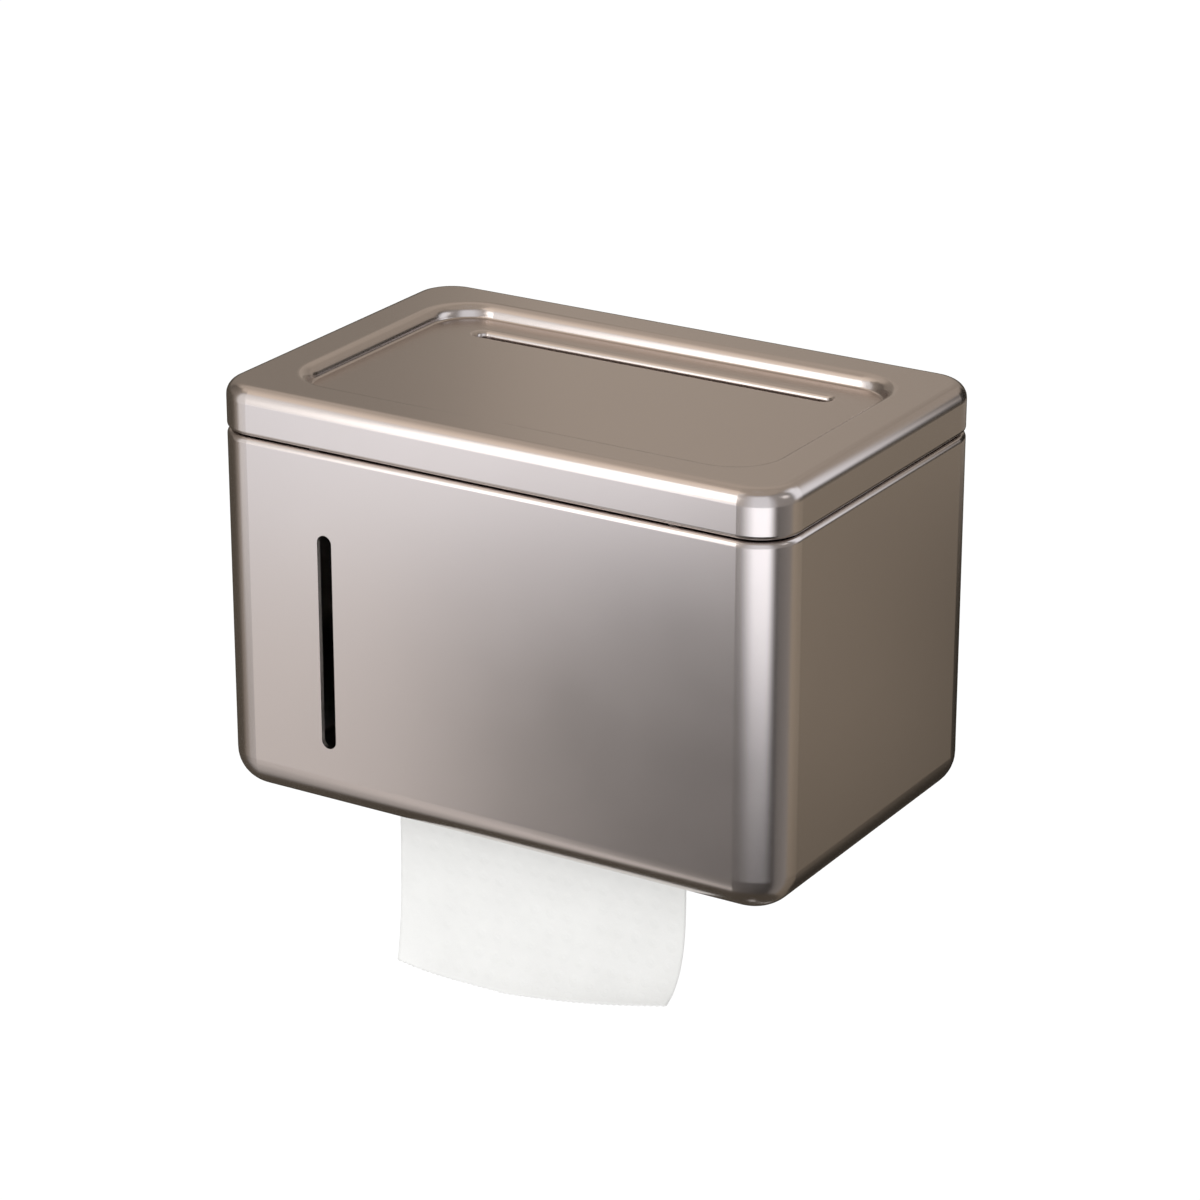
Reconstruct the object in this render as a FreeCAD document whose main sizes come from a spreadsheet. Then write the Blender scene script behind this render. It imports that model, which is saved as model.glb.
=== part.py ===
"""Wall-mounted metal box for one toilet roll, with a hinged lid that has a shallow phone tray.

Frame: +Z up, +X to the right as seen from the room, +Y into the wall. The origin is the centre of
the four fixing holes, on the face that lies against the wall. All sizes are millimetres.
"""
import FreeCAD, Part
import math
import os
import re

import Sketcher

Vector = FreeCAD.Vector

# Driving dimensions: name, value and what it measures

SIZES = {
    # Box
    "body_width": (190.0, "outside width of box and lid"),
    "body_depth": (121.8, "wall to front, outside"),
    "body_height": (112.55, "underside of the box to its top flange"),
    "corner_radius": (13.3, "outside radius of the upright corners"),
    "base_radius": (11.3, "outside radius round the bottom"),
    "body_lip_radius": (1.75, "outside rounding of the box's top edge"),
    "sheet_thickness": (1.5, "steel sheet of box and lid"),
    "body_flange": (8.0, "width of the flange folded inwards round the mouth"),
    "mouth_radius": (5.0, "corner radius of the mouths of box and lid"),
    # Lid
    "seam_gap": (0.5, "open joint between box and closed lid"),
    "lid_height": (14.3, "lid, from its lower edge to its rim"),
    "lid_edge_radius": (4.6, "outside rounding of the lid's top edge"),
    "lid_hem_radius": (1.4, "outside rounding of the lid's lower edge"),
    "lid_flange": (6.0, "width of the flange folded inwards under the lid"),
    "lid_relief": (1.6, "height cut from the lid's lower edge behind the hinge axis"),
    # Phone tray
    "tray_rim_side": (14.1, "flat rim beside the tray"),
    "tray_rim_front": (13.2, "flat rim before and behind the tray"),
    "tray_depth": (4.0, "rim to tray floor"),
    "tray_corner": (14.0, "corner radius of the tray, where wall and rim planes meet"),
    "tray_wall_angle": (75.0, "slope of the tray wall, degrees"),
    "tray_rim_radius": (4.0, "bend from the rim into the tray wall"),
    "tray_foot_radius": (0.8, "bend from the tray wall into the floor"),
    "groove_length": (121.5, "phone groove between its straight walls"),
    "groove_width": (4.4, "phone groove between its straight walls"),
    "groove_depth": (4.5, "tray floor to groove floor"),
    "groove_lip": (2.0, "rounding of the groove's upper edge"),
    "groove_back": (14.3, "tray's rear edge to the groove's centre"),
    # Windows in the sheet
    "window_offset": (55.0, "box centre to sight window, to the left"),
    "window_width": (5.0, "sight window"),
    "window_length": (67.0, "sight window, over its round ends"),
    "window_height": (54.0, "underside of the box to the window's centre"),
    "paper_slot_side": (3.0, "slot under the box, room on each side of the roll's width"),
    "paper_slot_depth": (16.0, "slot under the box"),
    "paper_slot_radius": (3.0, "corner radius of that slot"),
    "paper_slot_front": (31.5, "box centre to slot centre, towards the room"),
    "guide_rim": (3.0, "slot guide, rim resting on the floor"),
    "guide_wall": (1.2, "slot guide, wall thickness"),
    "guide_drop": (0.8, "slot guide, how far it shows under the box"),
    "guide_round": (0.4, "slot guide, rounding of the edges that paper touches"),
    # Wall fixing
    "fixing_height": (52.5, "underside of the box to the fixing pattern's centre"),
    "fixing_width": (140.0, "fixing holes, left to right"),
    "fixing_rise": (45.0, "fixing holes, bottom to top"),
    "fixing_radius": (2.75, "fixing holes"),
    # Roll brackets
    "ear_gap": (4.0, "end of the roll to a bracket's ear"),
    "bracket_thickness": (2.0, "bracket plate"),
    "foot_clear": (0.7, "bracket foot to the curve of the box's corner"),
    "foot_height": (69.0, "bracket foot on the back wall"),
    "foot_corner": (4.0, "corner radius of the foot"),
    "ear_root": (56.0, "height of the ear where it leaves the foot"),
    "ear_tip_radius": (13.0, "rounded end of the ear, round the spindle"),
    "bend_radius": (1.0, "inside radius of the bracket's bend"),
    "rivet_column": (9.0, "bracket ear to its rivets"),
    "rivet_rise": (40.0, "bracket rivets, bottom to top"),
    # Spindle
    "spindle_height": (66.2, "underside of the box to the spindle's axis"),
    "spindle_radius": (12.0, "outside of the spindle"),
    "sleeve_reach": (8.0, "box centre to the sleeve's open end"),
    "plunger_radius": (10.0, "outside of the sliding half"),
    "plunger_wall": (1.6, "wall of the sliding half"),
    "plunger_tail": (14.0, "box centre to the plunger's inner end"),
    "plunger_collar": (6.0, "length of the plunger's full-size end"),
    "spindle_end": (3.0, "thickness of the closed spindle ends"),
    "pin_radius": (4.0, "end pins of the spindle"),
    "pin_reach": (3.8, "end pins beyond the spindle's shoulders"),
    "pin_chamfer": (0.8, "bevel on the end pins"),
    "end_play": (0.3, "shoulder to ear, each end"),
    "running_gap": (0.05, "radial clearance of pins and slides"),
    "spring_wire": (1.0, "spring wire, diameter"),
    "spring_play": (0.9, "spring to the plunger's bore"),
    "spring_coils": (16, "turns of the spring"),
    "spring_seat": (0.1, "spring to the closed spindle ends"),
    # Roll
    "roll_radius": (50.0, "full roll"),
    "roll_width": (100.0, "roll, along the spindle"),
    "core_radius": (21.5, "bore of the card core"),
    "core_wall": (1.0, "card core"),
    "roll_hang": (0.3, "core to the spindle that it hangs on"),
    "tail_thickness": (0.4, "hanging end of the paper"),
    "tail_gap": (0.3, "hanging end to the roll where it leaves it"),
    "tail_drop": (58.5, "underside of the box to the paper's lower edge"),
    "tail_bend": (30.0, "radius where the paper turns down"),
    "tail_curl": (60.0, "radius of the curl at the paper's lower edge"),
    "tail_curl_angle": (14.0, "how far the lower edge curls forward, degrees"),
    # Lid hinges
    "hinge_offset": (35.0, "side of the box to a hinge's centre"),
    "hinge_width": (30.0, "hinge leaves"),
    "hinge_notch": (0.75, "room beside each leaf in flange and skirt"),
    "hinge_room": (0.5, "knuckle to the lid's underside"),
    "hinge_pin_radius": (1.25, "hinge pin"),
    "lid_knuckle": (14.6, "length of the lid leaf's knuckle"),
    "knuckle_play": (0.2, "lid knuckle to body knuckles, each side"),
    "leaf_thickness": (1.2, "hinge leaves"),
    "leaf_joggle": (0.4, "step forward of the body leaf above its foot"),
    "leaf_clear": (4.75, "bracket foot to the body leaf's lower end"),
    "leaf_step": (12.0, "body leaf, lower end to the underside of its step"),
    "lid_leaf_length": (8.3, "lid leaf, hinge axis to its front edge"),
    "leaf_rivet_spacing": (18.0, "between a leaf's two rivets"),
    "leaf_rivet_height": (6.0, "body leaf's lower end to its rivets"),
    "rivet_radius": (1.5, "rivet shanks"),
    "rivet_head_radius": (2.6, "rivet heads"),
    "rivet_head": (0.9, "height of the rivet heads"),
    "rivet_crown": (1.6, "radius of the flat on top of the rivet heads"),
    # Rest pads
    "pad_radius": (1.75, "rest pads under the lid"),
    "pad_inset": (3.9, "outside of the box to a pad's centre"),
    "front_pad_offset": (35.0, "side of the box to the front pads"),
    "side_pad_front": (15.0, "box centre to the side pads, towards the room"),
}

# Places worked out from the driving dimensions

PLACES = {
    "mid_depth": "body_depth / 2",
    "lid_base": "body_height + seam_gap - fixing_height",
    "lid_top": "lid_base + lid_height",
    "lid_run": "lid_edge_radius - sheet_thickness",
    "bend_run": "tray_rim_radius * tan(tray_wall_angle / 2 * 1 deg)",
    "tray_width": "body_width - 2 * (tray_rim_side + bend_run)",
    "tray_length": "body_depth - 2 * (tray_rim_front + bend_run)",
    "groove_y": "tray_length / 2 - groove_back",
    "hinge_x": "body_width / 2 - hinge_offset",
    "front_pad_x": "body_width / 2 - front_pad_offset",
    "under_run": "sheet_thickness * tan(tray_wall_angle / 2 * 1 deg)",
    "hinge_axis_y": "-lid_edge_radius",
    "hinge_axis_z": "lid_top - lid_edge_radius",
    "knuckle_radius": "lid_run - hinge_room",
    "leaf_low": "foot_height / 2 + leaf_clear",
    "leaf_length": "hinge_axis_z - leaf_low",
    "leaf_rivet_z": "leaf_low + leaf_rivet_height",
    "spindle_y": "-mid_depth",
    "spindle_z": "spindle_height - fixing_height",
    "roll_z": "spindle_z - (core_radius - spindle_radius - roll_hang)",
    "ear_inside": "roll_width / 2 + ear_gap",
    "shoulder": "ear_inside - end_play",
    "foot_width": "body_width / 2 - corner_radius - foot_clear - ear_inside",
    "paper_slot_width": "roll_width + 2 * paper_slot_side",
    "slot_y": "-mid_depth - paper_slot_front",
    "pin_hole": "pin_radius + running_gap",
    "sleeve_bore": "plunger_radius + running_gap",
    "plunger_bore": "plunger_radius - plunger_wall",
    "spring_radius": "plunger_bore - spring_play - spring_wire / 2",
}

doc = FreeCAD.newDocument("toilet_roll_holder")
sheet = doc.addObject("Spreadsheet::Sheet", "Sizes")
for row, (alias, (size, meaning)) in enumerate(SIZES.items(), start=1):
    sheet.set(f"A{row}", meaning)
    sheet.set(f"B{row}", str(size))
    sheet.setAlias(f"B{row}", alias)
doc.recompute()


def full(expression):
    """An expression in plain names, with every name replaced by its sheet cell."""

    def swap(match):
        word = match.group(0)
        if word in PLACES:
            return "(" + full(PLACES[word]) + ")"
        return "Sizes." + word if word in SIZES else word

    return re.sub(r"[a-z_]+", swap, str(expression))


def number(expression):
    """The value of such an expression now."""
    return float(sheet.evalExpression(full(expression)))


def bind(thing, **properties):
    """Tie properties of an object to expressions. Placement_x stands for Placement.Base.x."""
    for name, expression in properties.items():
        path = re.sub(r"^(\w+)_([xyz])$", r".\1.Base.\2", name)
        thing.setExpression(path, full(expression))
    return thing


# Sketches and features

HORIZONTAL_AXIS = -1
VERTICAL_AXIS = -2
START = 1
END = 2
CENTRE = 3


def new_body(label, x="0", y="0", z="0"):
    body = doc.addObject("PartDesign::Body", label)
    body.Label = label
    return bind(body, Placement_x=x, Placement_y=y, Placement_z=z)


def sketch_on(body, name, role, x="0", y="0", z="0", turn=0):
    """An empty sketch on one of the body's origin planes, shifted in that plane's own x, y and z."""
    sketch = body.newObject("Sketcher::SketchObject", f"{body.Label}_{name}")
    plane = next(item for item in body.Origin.OriginFeatures if item.Role == role)
    sketch.AttachmentSupport = (plane, [""])
    sketch.MapMode = "FlatFace"
    sketch.AttachmentOffset = FreeCAD.Placement(Vector(), FreeCAD.Rotation(Vector(0, 0, 1), turn))
    return bind(sketch, AttachmentOffset_x=x, AttachmentOffset_y=y, AttachmentOffset_z=z)


def dimension(sketch, kind, *places, expression):
    """A dimensional constraint that follows an expression."""
    index = sketch.addConstraint(Sketcher.Constraint(kind, *places, number(expression)))
    sketch.setExpression(f"Constraints[{index}]", full(expression))


def arc(x, y, radius, first, last):
    circle = Part.Circle(Vector(x, y, 0), Vector(0, 0, 1), radius)
    return Part.ArcOfCircle(circle, math.radians(first), math.radians(last))


def line(start, end):
    return Part.LineSegment(Vector(*start, 0), Vector(*end, 0))


def rounded_rectangle(sketch, width, length, radius):
    """A rectangle with round corners, centred on the sketch's origin."""
    right = number(width) / 2
    top = number(length) / 2
    r = number(radius)
    inner_x = right - r
    inner_y = top - r
    sketch.addGeometry([
        line((-inner_x, -top), (inner_x, -top)),
        arc(inner_x, -inner_y, r, -90, 0),
        line((right, -inner_y), (right, inner_y)),
        arc(inner_x, inner_y, r, 0, 90),
        line((inner_x, top), (-inner_x, top)),
        arc(-inner_x, inner_y, r, 90, 180),
        line((-right, inner_y), (-right, -inner_y)),
        arc(-inner_x, -inner_y, r, 180, 270),
    ])
    for item in range(8):
        sketch.addConstraint(Sketcher.Constraint("Tangent", item, END, (item + 1) % 8, START))
    for item, direction in ((0, "Horizontal"), (2, "Vertical"), (4, "Horizontal"), (6, "Vertical")):
        sketch.addConstraint(Sketcher.Constraint(direction, item))
    for item in (3, 5, 7):
        sketch.addConstraint(Sketcher.Constraint("Equal", 1, item))
    sketch.addConstraint(Sketcher.Constraint("Symmetric", 1, CENTRE, 5, CENTRE, HORIZONTAL_AXIS, START))
    dimension(sketch, "Radius", 1, expression=radius)
    dimension(sketch, "DistanceX", 6, START, 2, START, expression=width)
    dimension(sketch, "DistanceY", 0, START, 4, START, expression=length)
    return sketch


def round_slot(sketch, length, width):
    """A slot with round ends along the sketch's x axis, centred on its origin."""
    r = number(width) / 2
    inner = number(length) / 2 - r
    sketch.addGeometry([
        line((-inner, -r), (inner, -r)),
        arc(inner, 0, r, -90, 90),
        line((inner, r), (-inner, r)),
        arc(-inner, 0, r, 90, 270),
    ])
    for item in range(4):
        sketch.addConstraint(Sketcher.Constraint("Tangent", item, END, (item + 1) % 4, START))
    sketch.addConstraint(Sketcher.Constraint("Horizontal", 0))
    sketch.addConstraint(Sketcher.Constraint("Symmetric", 1, CENTRE, 3, CENTRE, HORIZONTAL_AXIS, START))
    dimension(sketch, "Radius", 1, expression=f"({width}) / 2")
    dimension(sketch, "DistanceX", 3, CENTRE, 1, CENTRE, expression=f"({length}) - ({width})")
    return sketch


def circle_at(sketch, x, y, radius):
    """One circle, placed from the sketch's origin by expressions of any sign."""
    place = Vector(number(x), number(y), 0)
    item = sketch.addGeometry(Part.Circle(place, Vector(0, 0, 1), number(radius)))
    dimension(sketch, "Radius", item, expression=radius)
    for kind, along, value, axis in (
        ("DistanceX", place.x, x, VERTICAL_AXIS),
        ("DistanceY", place.y, y, HORIZONTAL_AXIS),
    ):
        if along > 0:
            dimension(sketch, kind, HORIZONTAL_AXIS, START, item, CENTRE, expression=value)
        elif along < 0:
            dimension(sketch, kind, item, CENTRE, HORIZONTAL_AXIS, START, expression=f"-({value})")
        else:
            sketch.addConstraint(Sketcher.Constraint("PointOnObject", item, CENTRE, axis))


def pad(body, sketch, length, reverse=False, taper=None):
    feature = body.newObject("PartDesign::Pad", f"{sketch.Name}_pad")
    feature.Profile = sketch
    feature.Reversed = reverse
    bind(feature, Length=length)
    if taper:
        bind(feature, TaperAngle=taper)
    doc.recompute()
    return feature


def pocket(body, sketch, length=None, reverse=False, taper=None, through=None):
    """Cut a sketch into the body, and make sure that it took something away."""
    before = body.Shape.Volume
    feature = body.newObject("PartDesign::Pocket", f"{sketch.Name}_pocket")
    feature.Profile = sketch
    feature.Reversed = reverse
    if through:
        feature.Type = "ThroughAll"
        feature.SideType = through
    else:
        bind(feature, Length=length)
    if taper:
        bind(feature, TaperAngle=taper)
    doc.recompute()
    if not feature.Shape.Volume < before - 1e-6:
        raise RuntimeError(f"{feature.Name} cuts nothing")
    return feature


def edges_at(feature, z=None, keep=lambda box: True):
    """Names of the edges that lie flat at a height, or that another test keeps."""
    names = []
    for index, edge in enumerate(feature.Shape.Edges, start=1):
        box = edge.BoundBox
        flat = z is None or (abs(box.ZMin - z) < 1e-4 and abs(box.ZMax - z) < 1e-4)
        if flat and keep(box):
            names.append(f"Edge{index}")
    return names


def within(half_width, half_length, middle_y):
    """A test for edges inside a rectangle round x 0 and some y."""
    near = 0.01
    far_x = number(half_width) + near
    far_y = number(half_length) + near
    middle = number(middle_y)

    def keep(box):
        inside_x = -far_x < box.XMin and box.XMax < far_x
        return inside_x and middle - far_y < box.YMin and box.YMax < middle + far_y

    return keep


def upright_at(x, y):
    """A test for edges that stand upright at a place."""
    near = 0.001

    def keep(box):
        thin = box.XLength < near and box.YLength < near
        return thin and abs(box.Center.x - x) < near and abs(box.Center.y - y) < near

    return keep


def round_edges(body, names, radius):
    """Round edges of the body as it is so far."""
    base = body.Tip
    feature = body.newObject("PartDesign::Fillet", f"{body.Label}_round_{len(body.Group)}")
    feature.Base = (base, names)
    bind(feature, Radius=radius)
    doc.recompute()
    return feature


# Part primitives


def placed(thing, x, y, z, along="Z"):
    turn = {
        "X": FreeCAD.Rotation(Vector(0, 1, 0), 90),
        "Y": FreeCAD.Rotation(Vector(1, 0, 0), -90),
        "Z": FreeCAD.Rotation(),
    }[along]
    thing.Placement = FreeCAD.Placement(Vector(), turn)
    return bind(thing, Placement_x=x, Placement_y=y, Placement_z=z)


def cylinder(name, radius, length, x="0", y="0", z="0", along="X"):
    """A cylinder that starts at x, y, z and runs along a positive axis."""
    thing = doc.addObject("Part::Cylinder", name)
    bind(thing, Radius=radius, Height=length)
    return placed(thing, x, y, z, along)


def box(name, width, depth, height, x, y, z):
    """A box from its lowest corner."""
    thing = doc.addObject("Part::Box", name)
    bind(thing, Length=width, Width=depth, Height=height)
    return placed(thing, x, y, z)


def cone(name, first, last, length, x, y, z, along="X"):
    thing = doc.addObject("Part::Cone", name)
    bind(thing, Radius1=first, Radius2=last, Height=length)
    return placed(thing, x, y, z, along)


def fuse(name, *things):
    thing = doc.addObject("Part::MultiFuse", name)
    thing.Shapes = list(things)
    return thing


def cut(name, base, *tools):
    thing = doc.addObject("Part::Cut", name)
    thing.Base = base
    thing.Tool = tools[0] if len(tools) == 1 else fuse(f"{name}_tools", *tools)
    return thing


def group(name, *things):
    """Like pieces that share one node, as separate solids."""
    thing = doc.addObject("Part::Compound", name)
    thing.Links = list(things)
    return thing


SIDES = (("left", -1), ("right", 1))

# Box


def holes_in_back(body):
    """Fixing holes and rivet holes, drawn on the middle plane and cut towards the wall."""
    sketch = sketch_on(body, "back_holes", "XZ_Plane")
    for _, side in SIDES:
        for rise in (-1, 1):
            circle_at(
                sketch,
                f"{side} * fixing_width / 2",
                f"fixing_height + {rise} * fixing_rise / 2",
                "fixing_radius",
            )
            circle_at(
                sketch,
                f"{side} * (ear_inside + rivet_column)",
                f"fixing_height + {rise} * rivet_rise / 2",
                "rivet_radius",
            )
            circle_at(
                sketch,
                f"{side} * hinge_x + {rise} * leaf_rivet_spacing / 2",
                "leaf_rivet_z + fixing_height",
                "rivet_radius",
            )
    pocket(body, sketch, through="One side")


def make_body_shell():
    body = new_body("body_shell", y="-mid_depth", z="-fixing_height")
    outline = sketch_on(body, "outline", "XY_Plane")
    rounded_rectangle(outline, "body_width", "body_depth", "corner_radius")
    pad(body, outline, "body_height")

    hollow = sketch_on(body, "hollow", "XY_Plane", z="body_height - sheet_thickness")
    rounded_rectangle(
        hollow,
        "body_width - 2 * sheet_thickness",
        "body_depth - 2 * sheet_thickness",
        "corner_radius - sheet_thickness",
    )
    pocket(body, hollow, "body_height - 2 * sheet_thickness")
    round_edges(body, edges_at(body.Tip, number("sheet_thickness")), "base_radius - sheet_thickness")
    round_edges(body, edges_at(body.Tip, 0), "base_radius")
    round_edges(body, edges_at(body.Tip, number("body_height")), "body_lip_radius")

    mouth = sketch_on(body, "mouth", "XY_Plane", z="body_height")
    rounded_rectangle(mouth, "body_width - 2 * body_flange", "body_depth - 2 * body_flange", "mouth_radius")
    pocket(body, mouth, "2 * sheet_thickness")

    for name, side in SIDES:
        notch = sketch_on(
            body,
            f"{name}_notch",
            "XY_Plane",
            x=f"{side} * hinge_x",
            y="mid_depth - sheet_thickness - body_flange / 2",
            z="body_height",
        )
        rounded_rectangle(notch, "hinge_width + 2 * hinge_notch", "body_flange", "hinge_notch")
        pocket(body, notch, "2 * sheet_thickness")

    window = sketch_on(body, "window", "XZ_Plane", x="-window_offset", y="window_height", turn=90)
    round_slot(window, "window_length", "window_width")
    pocket(body, window, reverse=True, through="One side")

    slot = sketch_on(body, "paper_slot", "XY_Plane", y="-paper_slot_front")
    rounded_rectangle(slot, "paper_slot_width", "paper_slot_depth", "paper_slot_radius")
    pocket(body, slot, "2 * sheet_thickness", reverse=True)

    holes_in_back(body)
    return body


def make_slot_guide():
    """Moulded ring that keeps the paper off the slot's steel edge."""
    guide = new_body("paper_slot_guide", y="slot_y", z="-fixing_height")
    rim = sketch_on(guide, "rim", "XY_Plane", z="sheet_thickness")
    rounded_rectangle(
        rim,
        "paper_slot_width + 2 * guide_rim",
        "paper_slot_depth + 2 * guide_rim",
        "paper_slot_radius + guide_rim",
    )
    pad(guide, rim, "guide_wall")
    collar = sketch_on(guide, "collar", "XY_Plane", z="-guide_drop")
    rounded_rectangle(collar, "paper_slot_width", "paper_slot_depth", "paper_slot_radius")
    pad(guide, collar, "guide_drop + sheet_thickness")
    throat = sketch_on(guide, "throat", "XY_Plane")
    rounded_rectangle(
        throat,
        "paper_slot_width - 2 * guide_wall",
        "paper_slot_depth - 2 * guide_wall",
        "paper_slot_radius - guide_wall",
    )
    pocket(guide, throat, through="Symmetric")
    for height in ("sheet_thickness + guide_wall", "-guide_drop"):
        round_edges(guide, edges_at(guide.Tip, number(height)), "guide_round")
    return guide


# Lid


def make_lid_shell():
    lid = new_body("lid_shell", y="-mid_depth", z="lid_base")
    outline = sketch_on(lid, "outline", "XY_Plane")
    rounded_rectangle(outline, "body_width", "body_depth", "corner_radius")
    pad(lid, outline, "lid_height")

    hollow = sketch_on(lid, "hollow", "XY_Plane", z="sheet_thickness")
    rounded_rectangle(
        hollow,
        "body_width - 2 * sheet_thickness",
        "body_depth - 2 * sheet_thickness",
        "corner_radius - sheet_thickness",
    )
    pocket(lid, hollow, "lid_height - 2 * sheet_thickness", reverse=True)
    rim = number("lid_height")
    under = number("lid_height - sheet_thickness")
    round_edges(lid, edges_at(lid.Tip, under), "lid_run")
    round_edges(lid, edges_at(lid.Tip, rim), "lid_edge_radius")
    round_edges(lid, edges_at(lid.Tip, 0), "lid_hem_radius")

    # The mouth's flange runs along the front and the sides only
    mouth_length = "body_depth - lid_flange - sheet_thickness"
    mouth = sketch_on(lid, "mouth", "XY_Plane", y="(lid_flange - sheet_thickness) / 2")
    rounded_rectangle(mouth, "body_width - 2 * lid_flange", mouth_length, "mouth_radius")
    pocket(lid, mouth, "2 * sheet_thickness", reverse=True)

    # Underside of the tray, one sheet thickness outside the tray
    boss = sketch_on(lid, "tray_under", "XY_Plane", z="lid_height - sheet_thickness")
    rounded_rectangle(
        boss,
        "tray_width + 2 * under_run",
        "tray_length + 2 * under_run",
        "tray_corner + under_run",
    )
    pad(lid, boss, "tray_depth", reverse=True, taper="tray_wall_angle - 90")
    boss_floor = number("lid_height - sheet_thickness - tray_depth")
    round_edges(lid, edges_at(lid.Tip, boss_floor), "tray_foot_radius + sheet_thickness")
    boss_edges = edges_at(lid.Tip, under, within("tray_width / 2 + under_run", "mid_depth", "0"))
    round_edges(lid, boss_edges, "tray_rim_radius - sheet_thickness")

    # Tray
    tray = sketch_on(lid, "tray", "XY_Plane", z="lid_height")
    rounded_rectangle(tray, "tray_width", "tray_length", "tray_corner")
    pocket(lid, tray, "tray_depth", taper="tray_wall_angle - 90")
    tray_edges = edges_at(lid.Tip, rim, within("tray_width / 2", "mid_depth", "0"))
    round_edges(lid, tray_edges, "tray_rim_radius")
    tray_floor = number("lid_height - tray_depth")
    round_edges(lid, edges_at(lid.Tip, tray_floor), "tray_foot_radius")

    # Phone groove, pressed into the tray's floor
    swell = sketch_on(lid, "groove_under", "XY_Plane", y="groove_y", z="lid_height - tray_depth")
    round_slot(swell, "groove_length + 2 * sheet_thickness", "groove_width + 2 * sheet_thickness")
    pad(lid, swell, "groove_depth + sheet_thickness", reverse=True)
    swell_floor = number("lid_height - tray_depth - groove_depth - sheet_thickness")
    round_edges(lid, edges_at(lid.Tip, swell_floor), "groove_lip")
    groove = sketch_on(lid, "groove", "XY_Plane", y="groove_y", z="lid_height - tray_depth")
    round_slot(groove, "groove_length", "groove_width")
    pocket(lid, groove, "groove_depth")
    groove_edges = edges_at(
        lid.Tip, tray_floor, within("groove_length / 2", "groove_width / 2", "groove_y")
    )
    round_edges(lid, groove_edges, "groove_lip")

    # Room behind the hinge axis for the swing, and round each hinge
    relief = sketch_on(lid, "relief", "XY_Plane", y="mid_depth")
    rounded_rectangle(relief, "body_width + 2 * lid_flange", "2 * lid_edge_radius", "hinge_notch")
    pocket(lid, relief, "lid_relief", reverse=True)
    for name, side in SIDES:
        notch = sketch_on(lid, f"{name}_notch", "XY_Plane", x=f"{side} * hinge_x", y="mid_depth")
        rounded_rectangle(notch, "hinge_width + 2 * hinge_notch", "2 * lid_edge_radius", "hinge_notch")
        pocket(lid, notch, "lid_height - sheet_thickness", reverse=True)
    return lid


def make_lid_pads():
    """Four soft discs on the box's flange, which the closed lid rests on."""
    pads = []
    for name, side in SIDES:
        pads.append(
            cylinder(
                f"front_pad_{name}",
                "pad_radius",
                "seam_gap",
                f"{side} * front_pad_x",
                "pad_inset - body_depth",
                "lid_base - seam_gap",
                "Z",
            )
        )
        pads.append(
            cylinder(
                f"side_pad_{name}",
                "pad_radius",
                "seam_gap",
                f"{side} * (body_width / 2 - pad_inset)",
                "-mid_depth - side_pad_front",
                "lid_base - seam_gap",
                "Z",
            )
        )
    return group("lid_pads", *pads)


# Roll brackets


def tangent_point(point, centre, radius, above):
    """Where the line from a point touches a circle, on its upper or lower side."""
    gap = centre - point
    spread = math.acos(radius / gap.Length)
    back = math.atan2(-gap.y, -gap.x)
    angle = back + (spread if above else -spread)
    return centre + Vector(math.cos(angle), math.sin(angle), 0) * radius


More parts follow.
